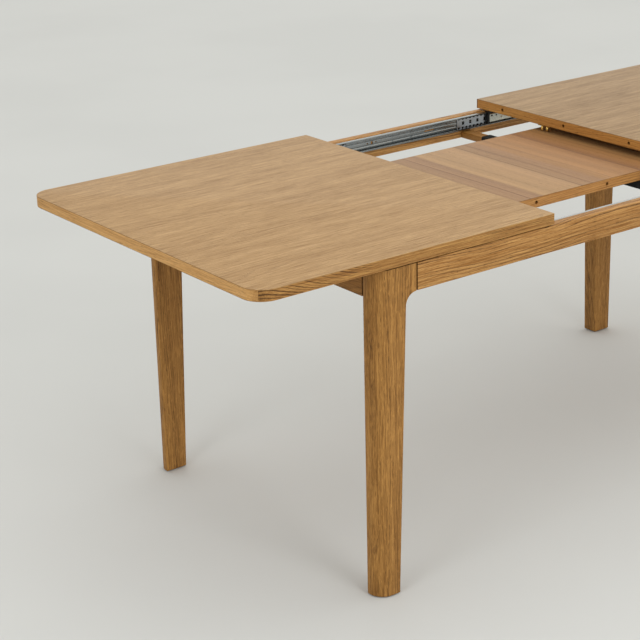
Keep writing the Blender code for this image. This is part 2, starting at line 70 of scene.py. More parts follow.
SIDES = {"left": -1, "right": 1}
ROWS = {"front": -1, "back": 1}
DOWELS = (1, 2, 3, 4)

# ---- Fine dimensions that the CAD leaves to this script ------------------------------------------
VENEER = 0.0012              # face veneer and underside veneer
ARRIS = 0.0008               # rounding where a face meets an edge
BAND = 0.0030                # solid oak lipping round a board
SEAM = 0.0002                # open joint between two strips of lipping
TOP_CORNER = 0.046
CORNER_STEPS = 18            # facets of a top's rounded corner
LEG_ROUND = 0.035
LEG_FILLET = 0.0275
LEG_EDGE = 0.0014
LEG_FOOT, LEG_UPPER = 0.529, 0.7356      # widths at the foot and below the shoulder, as shares of the top's
LEG_SPANS = 10               # rings of faces along the taper
LEG_STEPS, LEG_EDGE_STEPS = 22, 4        # facets of the rounded corner, and of the other three
FOOT_EDGE = 0.0018
FOOT_STEPS = 3
FILLET_STEPS = 16
HOLE_RADIUS = 0.0043
HOLE_DEPTH = 0.012
CORE_GAP = 0.0001            # between a board's core and its lipping
SHARP_DEGREES = 32           # a crease that turns by more is shaded as an edge
SLIDE_Z = sum(corner.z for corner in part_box("slide_outer_back")) / 2
WOOD_SHARE = 0.77            # of daylight colour that the wood keeps under the stage's light


# ---- Shader graphs ------------------------------------------------------------------------------
class Graph:
    """A material's node tree. Each call adds one node and gives back a socket for the next call."""

    def __init__(self, name):
        self.material = bpy.data.materials.new(name)
        self.material.use_nodes = True
        self.tree = self.material.node_tree
        self.tree.nodes.clear()

    def add(self, kind, inputs=None, **settings):
        node = self.tree.nodes.new("ShaderNode" + kind)
        for key, value in settings.items():
            setattr(node, key, value)
        for key, value in (inputs or {}).items():
            self.plug(node.inputs[key], value)
        return node

    def plug(self, socket, value):
        if isinstance(value, bpy.types.NodeSocket):
            self.tree.links.new(value, socket)
        else:
            socket.default_value = value

    def math(self, operation, *values):
        return self.add("Math", dict(enumerate(values)), operation=operation).outputs[0]

    def position(self, order="XYZ"):
        """The point in the piece's own coordinates, with its axes in the given order."""
        split = self.add("SeparateXYZ", {0: self.add("TexCoord").outputs["Object"]})
        return self.join(*[split.outputs[axis] for axis in order])

    def join(self, *values):
        return self.add("CombineXYZ", dict(enumerate(values))).outputs[0]

    def axis(self, vector, axis):
        return self.add("SeparateXYZ", {0: vector}).outputs[axis]

    def stretch(self, vector, scale, shift=(0, 0, 0)):
        scaled = self.add("VectorMath", {0: vector, 1: scale, 2: shift}, operation="MULTIPLY_ADD")
        return scaled.outputs[0]

    def noise(self, vector, detail=2.0, roughness=0.5, distortion=0.0):
        inputs = {"Vector": vector, "Scale": 1.0, "Detail": detail, "Roughness": roughness}
        return self.add("TexNoise", {**inputs, "Distortion": distortion}).outputs[0]

    def remap(self, value, low, high, to_low=0.0, to_high=1.0, kind="SMOOTHSTEP"):
        inputs = {"Value": value, "From Min": low, "From Max": high, "To Min": to_low, "To Max": to_high}
        return self.add("MapRange", inputs, interpolation_type=kind).outputs["Result"]

    def mix(self, factor, first, second, blend="MIX"):
        node = self.add("Mix", {0: factor, 6: first, 7: second}, data_type="RGBA", blend_type=blend)
        return node.outputs[2]

    def shaded(self, color, level):
        """The colour times a grey level."""
        grey = self.add("CombineColor", {0: level, 1: level, 2: level}).outputs[0]
        return self.mix(1.0, color, grey, "MULTIPLY")

    def plus(self, value, other, share):
        """The value plus a share of the other."""
        return self.math("ADD", value, self.math("MULTIPLY", other, share))

    def bump(self, height, strength, distance):
        return self.add("Bump", {"Height": height, "Strength": strength, "Distance": distance}).outputs[0]

    def finish(self, color, roughness, normal=None, metallic=0.0, **fixed):
        inputs = {"Base Color": color, "Roughness": roughness, "Metallic": metallic}
        if normal:
            inputs["Normal"] = normal
        shader = self.add("BsdfPrincipled", {**inputs, **fixed})
        self.add("OutputMaterial", {"Surface": shader.outputs[0]})
        return self.material


def tone(red, green, blue, share=1.0):
    """An sRGB colour, 0 to 255, as linear RGBA."""
    linear = []
    for value in (red, green, blue):
        level = value / 255
        level = level / 12.92 if level <= 0.04045 else ((level + 0.055) / 1.055) ** 2.4
        linear.append(level * share)
    return (*linear, 1.0)


def wood(red, green, blue):
    return tone(red, green, blue, WOOD_SHARE)


# Waves per metre of each noise in the wood, along the grain and across it.
GRAIN_WAVES = {
    "wander": (1.3, 7), "ripple": (9, 30), "bend": (0.9, 5), "presence": (3, 30), "wide": (2, 42),
    "streak": (7, 300), "thread": (14, 700), "fibre": (26, 1500), "pores": (70, 1500),
}
RAY_WAVES = (42, 210, 420)
WANDER, RIPPLE = 0.030, 0.0065           # metres that the two noises bend the grain by
YEAR_PACE, YEAR_SPREAD = 0.45, 2.2       # how often the ring width changes, and how much, in rings
FRESH_END, LATE_START = 0.34, 0.92       # of a ring: where its dark open wood ends, where the next begins


def oak(name, grain, pale, deep, line, figure=0.35, spacing=0.007, swirl=0.25, slope=0.35, broad=0.8,
        fine=1.2, pores=0.6, fleck=0.0, strips=None, shift=(0, 0, 0), rough=0.55, end=0.6):
    """Oiled oak as a solid texture, so that faces, edges and end grain belong together.

    The first letter of grain is the axis along the grain, the second the one across it on the main face.
    Growth rings are the contours of a slope bent by stretched noise: a small swirl keeps them straight, a
    large one closes them into cathedral arches. Where the surface cuts across the grain it is darker, by the
    factor end; a low end, as on the rails, adds painted shade to that end grain.
    """
    g = Graph(name)

    def layer(kind, vector, **more):
        along, sideways = GRAIN_WAVES[kind]
        return g.noise(g.stretch(vector, (along, sideways, sideways)), **more)

    place = g.stretch(g.position(grain), (1, 1, 1), shift)
    waver = g.math("MULTIPLY", layer("wander", place), WANDER)
    waver = g.plus(waver, layer("ripple", place, detail=3), RIPPLE)
    across = g.math("ADD", g.axis(place, "Y"), waver)
    flow = g.join(g.axis(place, "X"), across, g.axis(place, "Z"))

    contour = g.plus(across, layer("bend", place, detail=1), swirl)
    contour = g.plus(contour, g.axis(place, "Z"), slope)
    year = g.noise(g.join(0.5, g.math("MULTIPLY", contour, YEAR_PACE / spacing), 0.5))
    contour = g.plus(contour, year, spacing * YEAR_SPREAD)
    ring = g.math("FRACT", g.math("DIVIDE", contour, spacing))
    fresh = g.remap(ring, 0.0, FRESH_END, 1.0, 0.0)
    rings = g.math("MAXIMUM", fresh, g.remap(ring, LATE_START, 1.0))
    presence = g.remap(layer("presence", flow), 0.34, 0.58, 0.20, 1.0)
    rings = g.math("MULTIPLY", rings, g.math("MULTIPLY", presence, g.remap(year, 0.38, 0.62, 1.0, 0.45)))

    wide = layer("wide", flow, detail=3, roughness=0.55)
    streak = layer("streak", flow, detail=3, roughness=0.65)
    thread = layer("thread", flow, roughness=0.6)
    fibre = layer("fibre", flow)
    shade = g.plus(g.math("MULTIPLY", wide, broad), streak, fine * 0.8)
    shade = g.plus(shade, thread, fine * 1.2)
    middle = 0.5 * (broad + 2.0 * fine)
    shade = g.remap(shade, middle - 0.42, middle + 0.42, kind="LINEAR")
    color = g.mix(shade, pale, deep)
    if strips:
        color = strips(g, place)
    color = g.mix(g.math("MULTIPLY", rings, figure), color, line)

    open_pores = g.remap(layer("pores", flow, detail=1), 0.56, 0.65)
    open_pores = g.math("MULTIPLY", open_pores, g.remap(rings, 0.0, 0.6, 0.35, 1.0))
    color = g.mix(g.math("MULTIPLY", open_pores, pores), color, (*[0.42 * c for c in line[:3]], 1.0))
    color = g.shaded(color, g.remap(fibre, 0.35, 0.68, 0.93, 1.06, kind="LINEAR"))
    if fleck:
        ray = g.noise(g.stretch(place, RAY_WAVES), detail=3, distortion=0.9)
        rays = g.math("MULTIPLY", g.remap(ray, 0.54, 0.64), fleck)
        color = g.mix(rays, color, (*[min(1.0, 1.28 * c) for c in pale[:3]], 1.0))
    facing_end = g.math("ABSOLUTE", g.axis(g.add("TexCoord").outputs["Normal"], grain[0]))
    # End grain is darkened by the factor end; where end is low, as on the rails, the darkening is partly
    # painted shade.
    end_grain_and_painted_shade = g.mix(1.0, color, (end, end * 0.92, end * 0.80, 1.0), "MULTIPLY")
    color = g.mix(g.remap(facing_end, 0.25, 0.95), color, end_grain_and_painted_shade)

    height = g.math("SUBTRACT", g.math("MULTIPLY", fibre, 0.25), g.math("MULTIPLY", open_pores, 0.8))
    height = g.math("SUBTRACT", height, g.math("MULTIPLY", rings, 0.20))
    gloss = g.plus(g.plus(rough - 0.05, streak, 0.12), open_pores, 0.12)
    return g.finish(color, gloss, g.bump(height, 0.30, 0.0003), **{"Specular IOR Level": 0.22})


PALE_LINE = wood(132, 96, 58)
DEEP_LINE = wood(88, 52, 20)
VENEER_PALE = wood(216, 177, 126)
VENEER_DEEP = wood(164, 126, 80)
BAND_PALE = wood(214, 162, 92)
BAND_DEEP = wood(152, 102, 48)
RAIL_PALE = wood(220, 167, 100)
RAIL_DEEP = wood(166, 112, 52)
LEG_PALE = wood(202, 148, 78)
LEG_DEEP = wood(134, 89, 36)


# The leaf's veneer strips: (place across the grain, tone), and dark lines as (place, width, strength).
LEAF_TONES = [
    (-0.30, wood(191, 152, 110)), (-0.215, wood(181, 143, 104)), (-0.120, wood(174, 135, 100)),
    (-0.106, wood(195, 156, 111)), (0.008, wood(195, 155, 112)), (0.016, wood(177, 139, 100)),
    (0.075, wood(174, 133, 96)), (0.090, wood(189, 142, 93)), (0.198, wood(185, 135, 87)),
    (0.212, wood(164, 114, 68)), (0.250, wood(183, 133, 81)), (0.310, wood(193, 151, 100)),
]
LEAF_LINES = [
    (-0.150, 0.0020, 0.70), (-0.114, 0.0012, 0.45), (0.012, 0.0014, 0.80), (0.046, 0.0030, 0.40),
    (0.110, 0.0016, 0.40), (0.205, 0.0050, 0.50), (0.262, 0.0040, 0.30),
]


def leaf_strips(g, place):
    """Strips of veneer side by side, each with its own tone, and the dark lines that part some of them."""
    wobble = g.noise(g.stretch(place, (2.2, 9, 0)), detail=1)
    across = g.plus(g.axis(place, "Y"), g.math("SUBTRACT", wobble, 0.5), 0.016)
    low, high = LEAF_TONES[0][0], LEAF_TONES[-1][0]
    ramp = g.add("ValToRGB", {0: g.remap(across, low, high, kind="LINEAR")})
    stops = ramp.color_ramp.elements
    stops[0].color = LEAF_TONES[0][1]
    stops[1].color = LEAF_TONES[-1][1]
    for x, paint in LEAF_TONES[1:-1]:
        stops.new((x - low) / (high - low)).color = paint
    shade = g.remap(g.noise(g.stretch(place, (1.5, 45, 45)), detail=3), 0.3, 0.7, 0.90, 1.08)
    color = g.shaded(ramp.outputs[0], shade)
    for x, width, depth in LEAF_LINES:
        distance = g.math("ABSOLUTE", g.math("SUBTRACT", across, x))
        color = g.mix(g.remap(distance, 0.0, width * 1.6, depth, 0.0), color, wood(112, 74, 48))
    return color


OAK_FACE = oak("oak_face_veneer", "XYZ", VENEER_PALE, VENEER_DEEP, PALE_LINE, figure=0.26, spacing=0.0062,
               swirl=0.20, broad=0.75, fine=1.9, pores=0.65, rough=0.56)
# The right top's veneer is painted darker and greyer than the left top's: painted shade for the right half,
# which falls darker under the light. Its grain is also shifted, so that the two halves differ.
OAK_FACE_RIGHT_PAINTED_SHADE = oak("oak_face_veneer_right", "XYZ", wood(206, 172, 130), wood(150, 120, 84), PALE_LINE,
                     figure=0.24, spacing=0.0066, swirl=0.20, broad=0.95, fine=1.9, pores=0.65,
                     shift=(2.3, 4.1, 0), rough=0.56)
OAK_UNDER = oak("oak_under_veneer", "XYZ", BAND_PALE, BAND_DEEP, DEEP_LINE, figure=0.25, spacing=0.010,
                shift=(3.1, 1.7, 0), rough=0.62)
OAK_CORE = oak("oak_core", "YXZ", BAND_PALE, BAND_DEEP, DEEP_LINE, shift=(0, 2.2, 1), rough=0.7)
BAND_X = oak("oak_lipping_long", "XZY", BAND_PALE, BAND_DEEP, DEEP_LINE, figure=1.0, spacing=0.0080,
             swirl=0.60, fine=1.6, pores=1.0, shift=(0.37, 0.9, 0.0))
BAND_Y = oak("oak_lipping_short", "YZX", wood(245, 192, 122), wood(201, 147, 82), DEEP_LINE, figure=0.34,
             spacing=0.0046, swirl=0.10, pores=0.7, shift=(0.8, 0.4, 0.0))
BAND_INNER = oak("oak_lipping_inner", "YZX", wood(226, 166, 88), wood(186, 126, 58), DEEP_LINE, figure=0.40,
                 spacing=0.0052, swirl=0.16, pores=0.8, shift=(1.4, 0.2, 0.0))
# end=0.3 darkens the rails' end grain well beyond the wood's own: partly real end grain, partly painted shade
# for the shadow gap where the aprons meet the legs.
RAIL_X = oak("oak_apron_long", "XZY", RAIL_PALE, RAIL_DEEP, DEEP_LINE, figure=1.0, spacing=0.0082,
             swirl=0.23, fine=1.8, pores=1.0, end=0.3, shift=(0.55, 0.2, 0.3))
# The short rails' colours are painted darker than the long rails': painted shade for the end aprons, which
# stand in shade under the tops' overhang. The cross rails share this material.
RAIL_Y_PAINTED_SHADE = oak("oak_apron_short", "YZX", wood(192, 138, 72), wood(146, 98, 42), DEEP_LINE, figure=0.60,
             spacing=0.009, swirl=0.2, pores=0.8, end=0.3, shift=(0.1, 1.2, 0.6))
OAK_LEG = oak("oak_leg", "ZXY", LEG_PALE, LEG_DEEP, DEEP_LINE, figure=0.55, spacing=0.0060, swirl=0.12,
              broad=0.9, fine=1.7, pores=0.9, fleck=0.32, shift=(0.3, 0.77, 0.1))
LEAF_FACE = oak("oak_leaf_veneer", "YXZ", VENEER_PALE, VENEER_DEEP, PALE_LINE, figure=0.10, spacing=0.012,
                swirl=0.05, fine=1.4, strips=leaf_strips, rough=0.55)
LEAF_BAND = oak("oak_leaf_lipping", "XZY", wood(228, 170, 100), wood(184, 124, 64), DEEP_LINE, figure=0.45,
                spacing=0.006, swirl=0.16, shift=(1.9, 0.1, 0.5))
LEAF_END = oak("oak_leaf_ends", "YZX", wood(212, 158, 100), wood(172, 118, 66), DEEP_LINE, figure=0.35,
               spacing=0.006, shift=(1.2, 0.3, 0.8))
BEECH = oak("beech_pins", "XYZ", wood(222, 186, 142), wood(190, 148, 104), wood(140, 100, 64), figure=0.15,
            spacing=0.003, pores=0.2, rough=0.6)
BEECH_BLOCK = oak("beech_blocks", "ZXY", wood(216, 178, 132), wood(180, 138, 94), wood(140, 100, 64),
                  figure=0.2, spacing=0.004, pores=0.2, rough=0.65)


# Painted shade on the outer member, for the hollow behind the ball cage: where it starts, how it fades in,
# and where it fades out.
PAINTED_SHADE_START = 0.186                     # from the table's middle, on the outer member
PAINTED_SHADE_EDGE = 0.006                      # width over which it fades in
PAINTED_SHADE_HEIGHTS = (0.0150, 0.0165)        # from the slide's centre line, where it fades out


def zinc(name, color, rough, brushed, painted_shade_from=None):
    """Zinc plated sheet: faint crystals, marks drawn along the slide, and a blue or yellow passivation tint.

    Past the given distance from the table's middle, the web between the ball tracks is painted near black and
    made a little rougher: painted shade for the hollow behind the ball cage.
    """
    g = Graph(name)
    place = g.position()
    drawn = g.noise(g.stretch(place, (18, 900, 900)), detail=3)
    crystal = g.noise(g.stretch(place, (420, 420, 420)), detail=2, distortion=1.2)
    stain = g.noise(g.stretch(place, (9, 30, 30)), detail=3)
    tint = (color[0] * 0.82, color[1] * 0.87, color[2] * 0.92, 1.0)
    tinted = g.mix(g.remap(stain, 0.35, 0.70), color, tint)
    painted = g.shaded(tinted, g.remap(crystal, 0.3, 0.7, 0.82, 1.12, kind="LINEAR"))
    gloss = g.plus(rough, g.math("SUBTRACT", drawn, 0.5), brushed)
    if painted_shade_from:
        # Painted shade behind the ball cage: past the given distance and between the ball tracks, the colour
        # is mixed towards near black.
        along = g.math("ABSOLUTE", g.axis(place, "X"))
        painted_shade_mask = g.remap(g.plus(along, stain, PAINTED_SHADE_EDGE), painted_shade_from, painted_shade_from + PAINTED_SHADE_EDGE)
        level = g.math("ABSOLUTE", g.math("SUBTRACT", g.axis(place, "Z"), SLIDE_Z))
        painted_shade_mask = g.math("MULTIPLY", painted_shade_mask, g.remap(level, *PAINTED_SHADE_HEIGHTS, 1.0, 0.0))
        painted = g.mix(g.math("MULTIPLY", painted_shade_mask, 0.90), painted, tone(30, 26, 20))
        gloss = g.plus(gloss, painted_shade_mask, 0.2)
    height = g.plus(g.math("MULTIPLY", drawn, 0.6), crystal, 0.3)
    return g.finish(painted, gloss, g.bump(height, 0.18, 0.0001), metallic=1.0)


def moulded(name, color, rough, grain_scale, strength):
    """Plastic, rubber or felt: a fine grain in the colour, the gloss and the surface."""
    g = Graph(name)
    grain = g.noise(g.stretch(g.position(), (grain_scale,) * 3), detail=3)
    dust = g.noise(g.stretch(g.position(), (60, 60, 60)), detail=3)
    paler = (*[min(1.0, 1.9 * c + 0.006) for c in color[:3]], 1.0)
    mixed = g.mix(g.remap(dust, 0.45, 0.75), color, paler)
    gloss = g.plus(rough - 0.06, grain, 0.12)
    return g.finish(mixed, gloss, g.bump(grain, strength, 0.0002), **{"Specular IOR Level": 0.3})


def brass():
    """Cast brass, tumbled: warm, with darker tarnish in the hollows of its grain."""
    g = Graph("brass_tumbled")
    cast = g.noise(g.stretch(g.position(), (700, 700, 700)), detail=3)
    tarnish = g.noise(g.stretch(g.position(), (90, 90, 90)), detail=4)
    color = g.mix(g.remap(tarnish, 0.40, 0.72), tone(236, 200, 116), tone(170, 122, 52))
    gloss = g.plus(0.20, tarnish, 0.22)
    return g.finish(color, gloss, g.bump(cast, 0.15, 0.0001), metallic=1.0)


ZINC_OUTER = zinc("zinc_outer_member", tone(148, 152, 152), 0.26, 0.25, painted_shade_from=PAINTED_SHADE_START)
ZINC_CAGE = zinc("zinc_ball_cage", tone(172, 176, 180), 0.34, 0.15)
ZINC_RUNNER = zinc("zinc_runner", tone(208, 207, 194), 0.42, 0.15)
STEEL_BALL = zinc("steel_balls", tone(205, 208, 212), 0.12, 0.02)
SCREW_STEEL = zinc("zinc_screws", tone(196, 192, 178), 0.30, 0.05)
BRASS = brass()
BLACK_PLASTIC = moulded("black_nylon", tone(12, 12, 13), 0.50, 1200, 0.10)
BLACK_PAD = moulded("black_rubber_sleeve", tone(7, 7, 7), 0.85, 900, 0.25)
GREY_FELT = moulded("grey_felt", tone(118, 114, 108), 0.95, 2200, 0.9)


# ---- Mesh building ------------------------------------------------------------------------------
def arc(center, radius, start, end, steps):
    points = []
    for k in range(steps + 1):
        angle = math.radians(start + (end - start) * k / steps)
        points.append((center[0] + radius * math.cos(angle), center[1] + radius * math.sin(angle)))
    return points


def skin(shape, rings):
    """A closed skin through rings of points that have equal counts."""
    made = [[shape.verts.new(point) for point in ring] for ring in rings]
    count = len(rings[0])
    for lower, upper in zip(made, made[1:]):
        for k in range(count):
            after = (k + 1) % count
            shape.faces.new((lower[k], lower[after], upper[after], upper[k]))
    shape.faces.new(made[0][::-1])
    shape.faces.new(made[-1])


def prism(shape, outline, put, start, end):
    skin(shape, [[put(a, b, along) for a, b in outline] for along in (start, end)])


def cuboid(shape, low, high):
    outline = [(low[0], low[1]), (high[0], low[1]), (high[0], high[1]), (low[0], high[1])]
    prism(shape, outline, lambda a, b, z: (a, b, z), low[2], high[2])


def lathe(shape, profile, start, axis, sides=24):
    """Turns a profile of (along the axis, radius) about the axis. A radius of 0 closes an end."""
    turn = Vector(axis).to_track_quat("Z", "Y").to_matrix()
    rings = []
    for along, radius in profile:
        circle = arc((0, 0), max(radius, 0.00002), 0, 360, sides)[:-1]
        rings.append([Vector(start) + turn @ Vector((x, y, along)) for x, y in circle])
    skin(shape, rings)


def mesh_of(shape, name):
    """Turns a working shape into mesh data, and frees it."""
    mesh = bpy.data.meshes.new(name)
    shape.to_mesh(mesh)
    shape.free()
    return mesh


def linked(name, data):
    made = bpy.data.objects.new(name, data)
    bpy.context.scene.collection.objects.link(made)
    return made


def smoothed(mesh, degrees):
    mesh.shade_smooth()
    mesh.set_sharp_from_angle(angle=math.radians(degrees))


def helper_object(shape):
    """A working object that doesn't stay in the scene."""
    bmesh.ops.recalc_face_normals(shape, faces=shape.faces)
    return linked("helper", mesh_of(shape, "helper"))


def soften(shape, width, segments=2, degrees=40):
    """Rounds the arrises that turn by more than the given angle."""
    bmesh.ops.recalc_face_normals(shape, faces=shape.faces)
    shape.edges.ensure_lookup_table()
    sharp = [e for e in shape.edges if len(e.link_faces) == 2 and e.calc_face_angle() > math.radians(degrees)]
    bmesh.ops.bevel(
        shape, geom=sharp, offset=width, segments=segments, profile=0.5, affect="EDGES", clamp_overlap=True
    )


def piece(name, shape, paint, body, slot, stands_for=(), degrees=SHARP_DEGREES):
    """Makes a shape in frame coordinates a piece that rides on a CAD body."""
    bmesh.ops.recalc_face_normals(shape, faces=shape.faces)
    mesh = mesh_of(shape, name)
    mesh.materials.append(paint)
    smoothed(mesh, degrees)
    made = linked(name, mesh)
    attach(made, body)
    if stands_for:
        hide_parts(*stands_for)
    return made


def carve(made, cutter):
    """Cuts a shape out of a piece, and keeps the result as the piece's mesh."""
    tool = helper_object(cutter)
    change = made.modifiers.new("carve", "BOOLEAN")
    change.operation = "DIFFERENCE"
    change.solver = "EXACT"
    change.object = tool
    graph = bpy.context.evaluated_depsgraph_get()
    result = bpy.data.meshes.new_from_object(made.evaluated_get(graph))
    made.modifiers.remove(change)
    before = made.data
    made.data = result
    bpy.data.meshes.remove(before)
    bpy.data.objects.remove(tool)
    smoothed(result, SHARP_DEGREES)


def fillet(path, radius, steps=3):
    """An open path with each inner corner rounded."""
    points = [Vector(point) for point in path]
    smooth = [points[0]]
    for before, corner, after in zip(points, points[1:], points[2:]):
        reach = min(radius, (corner - before).length * 0.45, (after - corner).length * 0.45)
        start = corner + (before - corner).normalized() * reach
        end = corner + (after - corner).normalized() * reach
        for k in range(steps + 1):
            t = k / steps
            smooth.append(start * (1 - t) ** 2 + corner * (2 * t * (1 - t)) + end * t ** 2)
    return smooth + [points[-1]]


def sheet_outline(path, thickness):
    """The closed outline of a bent sheet whose middle follows the path."""
    near, far = [], []
    for k, point in enumerate(path):
        before = (point - path[k - 1]).normalized() if k else None
        after = (path[k + 1] - point).normalized() if k + 1 < len(path) else None
        before, after = before or after, after or before
        normals = [Vector((-d.y, d.x)) for d in (before, after)]
        miter = (normals[0] + normals[1]).normalized()
        offset = miter * (thickness / 2 / miter.dot(normals[0]))
        near.append(tuple(point + offset))
        far.append(tuple(point - offset))
    return near + far[::-1]


def both_halves(half_section):
    return half_section + [(a, -b) for a, b in reversed(half_section)]


def copies(template, places):
    """One shape that holds the template once for each matrix."""
    shape = bmesh.new()
    for place in places:
        first = len(shape.verts)
        shape.from_mesh(template)
        shape.verts.ensure_lookup_table()
        bmesh.ops.transform(shape, matrix=place, verts=shape.verts[first:])
    return shape


def template_of(made):
    """Keeps a helper object's mesh and removes the object."""
    mesh = made.data
    bpy.data.objects.remove(made)
    return mesh


def refined(node, paint, body, slot, edge=0.0):
    """A CAD node's shape as clean faces, with its sharp arrises broken by edge."""
    shape = bmesh.new()
    shape.from_mesh(frame["nodes"][node].data)
    bmesh.ops.remove_doubles(shape, verts=shape.verts, dist=0.000002)
    bmesh.ops.dissolve_limit(
        shape, angle_limit=math.radians(0.5), verts=shape.verts, edges=shape.edges, delimit={"NORMAL"}
    )
    if edge:
        soften(shape, edge)
    return piece(f"{node}_finished", shape, paint, body, slot, [node])


# ---- Boards: the two tops and the leaf ----------------------------------------------------------
def board_outline(low, high, side, inset):
    """A board's outline (x, y) from above, drawn in by inset. The leaf, of side 0, has no rounded corners.

    The number of points doesn't depend on the inset.
    """
    x0, x1 = low.x + inset, high.x - inset
    y0, y1 = low.y + inset, high.y - inset
    if side == 0:
        return [(x0, y0), (x1, y0), (x1, y1), (x0, y1)]
    radius = TOP_CORNER - inset
    inner, outer = (x0, x1) if side > 0 else (-x1, -x0)
    points = [(inner, y1), (inner, y0)]
    points += arc((outer - radius, y0 + radius), radius, -90, 0, CORNER_STEPS)
    points += arc((outer - radius, y1 - radius), radius, 0, 90, CORNER_STEPS)
    return [(side * x, y) for x, y in points]


def sheet(name, outline_at, face, back, paint, body, **more):
    """A veneer sheet between two heights, with its outer arris rounded towards the face."""
    up = 1 if face > back else -1
    rings = [[(x, y, back) for x, y in outline_at(0)]]
    steps = 4
    for k in range(steps + 1):
        angle = math.radians(90 * k / steps)
        inset = ARRIS * (1 - math.cos(angle))
        height = face - up * ARRIS * (1 - math.sin(angle))
        rings.append([(x, y, height) for x, y in outline_at(inset)])
    shape = bmesh.new()
    skin(shape, rings)
    return piece(name, shape, paint, body, degrees=50, **more)


def pulled_in(points, gap):
    """The points with both ends drawn back along the line by a gap."""
    points = [Vector(p) for p in points]
    points[0] = points[0] + (points[1] - points[0]).normalized() * gap
    points[-1] = points[-1] + (points[-2] - points[-1]).normalized() * gap
    return [tuple(p) for p in points]


def dowel_holes(places, axis):
    shape = bmesh.new()
    for place in places:
        lathe(shape, [(-0.002, HOLE_RADIUS), (HOLE_DEPTH, HOLE_RADIUS)], place, axis)
    return shape


def make_top(side_name):
    side = SIDES[side_name]
    node = f"top_{side_name}"
    low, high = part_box(node)
    lower, upper = low.z + VENEER, high.z - VENEER

    def outline_at(inset):
        return board_outline(low, high, side, inset)

    # The right top takes the veneer with painted shade.
    face = OAK_FACE if side < 0 else OAK_FACE_RIGHT_PAINTED_SHADE
    sheet(f"{node}_veneer", outline_at, high.z, upper, face, node, slot="oak_top", stands_for=[node])
    sheet(f"{node}_underside", outline_at, low.z, lower, OAK_UNDER, node, slot="oak_top")
    outer, inner = outline_at(0), outline_at(BAND)
    near_seam = 2 + CORNER_STEPS // 2
    far_seam = near_seam + CORNER_STEPS + 1
    stretches = {
        "front": (1, near_seam, BAND_X),
        "end": (near_seam, far_seam, BAND_Y),
        "back": (far_seam, len(outer), BAND_X),
    }
    for name, (first, last, paint) in stretches.items():
        there = (outer + outer[:1])[first:last + 1]
        within = (inner + inner[:1])[first:last + 1]
        outline = pulled_in(there, SEAM / 2) + pulled_in(within, SEAM / 2)[::-1]
        shape = bmesh.new()
        prism(shape, outline, lambda x, y, z: (x, y, z), lower, upper)
        piece(f"{node}_lipping_{name}", shape, paint, node, "oak_top")
    inner_x = side * min(abs(low.x), abs(high.x))
    near, far = sorted((inner_x, inner_x + side * BAND))
    shape = bmesh.new()
    cuboid(shape, (near, low.y + BAND, lower), (far, high.y - BAND, upper))
    inner_band = piece(f"{node}_lipping_inner", shape, BAND_INNER, node, "oak_top")
    shape = bmesh.new()
    prism(shape, outline_at(BAND + CORE_GAP), lambda x, y, z: (x, y, z), lower, upper)
    core = piece(f"{node}_core", shape, OAK_CORE, node, "oak_top")
    places = [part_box(f"top_dowel_{number}") for number in DOWELS]
    centers = [(inner_x, (a.y + b.y) / 2, (a.z + b.z) / 2) for a, b in places]
    for target in (inner_band, core):
        carve(target, dowel_holes(centers, (side, 0, 0)))


def make_leaf():
    low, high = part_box("leaf")
    lower, upper = low.z + VENEER, high.z - VENEER

    def outline_at(inset):
        return board_outline(low, high, 0, inset)

    sheet("leaf_veneer", outline_at, high.z, upper, LEAF_FACE, "leaf", slot="oak_leaf", stands_for=["leaf"])
    sheet("leaf_underside", outline_at, low.z, lower, OAK_UNDER, "leaf", slot="oak_leaf")
    bands = {
        "front": ((low.x, low.y), (high.x, low.y + BAND), LEAF_BAND),
        "back": ((low.x, high.y - BAND), (high.x, high.y), LEAF_BAND),
        "left": ((low.x, low.y + BAND + SEAM), (low.x + BAND, high.y - BAND - SEAM), LEAF_END),
        "right": ((high.x - BAND, low.y + BAND + SEAM), (high.x, high.y - BAND - SEAM), LEAF_END),
    }
    made = {}
    for name, (first, second, paint) in bands.items():
        shape = bmesh.new()
        cuboid(shape, (*first, lower), (*second, upper))
        made[name] = piece(f"leaf_lipping_{name}", shape, paint, "leaf", "oak_leaf")
    shape = bmesh.new()
    gap = BAND + CORE_GAP
    cuboid(shape, (low.x + gap, low.y + gap, lower), (high.x - gap, high.y - gap, upper))
    core = piece("leaf_core", shape, OAK_CORE, "leaf", "oak_leaf")
    places = [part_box(f"leaf_dowel_{number}") for number in DOWELS]
    for name, y, inwards in (("front", low.y, 1), ("back", high.y, -1)):
        centers = [((a.x + b.x) / 2, y, (a.z + b.z) / 2) for a, b in places]
        for target in (made[name], core):
            carve(target, dowel_holes(centers, (0, inwards, 0)))


# ---- Legs ---------------------------------------------------------------------------------------
def leg_section(width, depth, height, shrink=0.0):
    """A leg's outline at one height, as distances inwards from its outer faces."""
    low, far_x, far_y = shrink, width - shrink, depth - shrink
    outline = arc((LEG_ROUND, LEG_ROUND), LEG_ROUND - low, 180, 270, LEG_STEPS)
    corners = [((far_x - LEG_EDGE, low + LEG_EDGE), -90), ((far_x - LEG_EDGE, far_y - LEG_EDGE), 0),
               ((low + LEG_EDGE, far_y - LEG_EDGE), 90)]
    for center, start in corners:
        outline += arc(center, LEG_EDGE, start, start + 90, LEG_EDGE_STEPS)
    return [(a, b, height) for a, b in outline]


